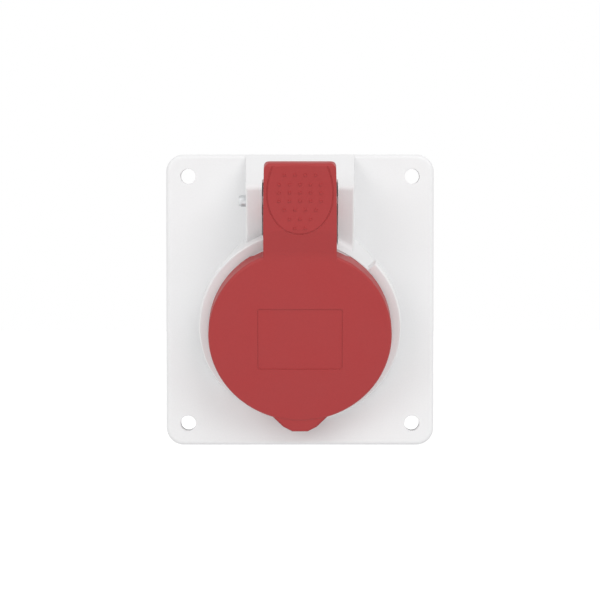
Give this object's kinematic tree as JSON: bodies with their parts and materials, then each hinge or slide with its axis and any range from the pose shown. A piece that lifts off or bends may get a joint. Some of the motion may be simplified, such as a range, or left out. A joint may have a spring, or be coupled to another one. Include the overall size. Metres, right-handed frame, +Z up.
{
  "type": "industrial panel socket",
  "caption": "Angled industrial panel socket: a square flange, a tilted round collar with a bayonet rim, and a sprung hinged lid with a thumb lever over sleeve contacts.",
  "frame": {"origin": "centre of the four fixing holes, in the plane where the flange gasket meets the panel", "axes": "-Y out of the panel towards the user, +Z up, +X to the user's right"},
  "size_m": [0.092, 0.0878, 0.1],
  "materials": {
    "white_plastic": "moulded, slightly glossy",
    "red_plastic": "moulded, satin",
    "grey_plastic": "moulded, matt",
    "sealing_rubber": "matt",
    "brass": "turned and milled",
    "spring_steel": "plain drawn steel",
    "plated_steel": "zinc plated"
  },
  "bodies": {
    "housing": {"housing": "white_plastic", "flange_gasket": "sealing_rubber", "hinge_pin": "spring_steel", "lid_spring": "spring_steel", "contact_carrier": "grey_plastic", "carrier_face": "grey_plastic", "carrier_ring": "grey_plastic", "carrier_back": "grey_plastic", "back_screw": "plated_steel", "carrier_screw_left": "plated_steel", "carrier_screw_right": "plated_steel", "contact_l1": "brass", "contact_l2": "brass", "contact_l3": "brass", "contact_earth": "brass", "sleeve_spring_l1": "spring_steel", "sleeve_spring_l2": "spring_steel", "sleeve_spring_l3": "spring_steel", "sleeve_spring_earth": "spring_steel", "terminal_screw_l1": "plated_steel", "terminal_screw_l2": "plated_steel", "terminal_screw_l3": "plated_steel", "terminal_screw_earth": "plated_steel", "clamp_plate_l1": "plated_steel", "clamp_plate_l2": "plated_steel", "clamp_plate_l3": "plated_steel", "clamp_plate_earth": "plated_steel"},
    "lid": {"lid": "red_plastic", "lid_gasket": "sealing_rubber"}
  },
  "joints": [
    {"name": "lid_hinge", "type": "hinge", "parent": "housing", "child": "lid", "pos_m": [0, -0.02149, 0.03419], "axis": [-1, 0, 0], "range_deg": [0, 90], "stiffness_Nm_per_rad": 0.03, "springref_deg": -45.84, "deforming": ["lid_spring"]}
  ]
}
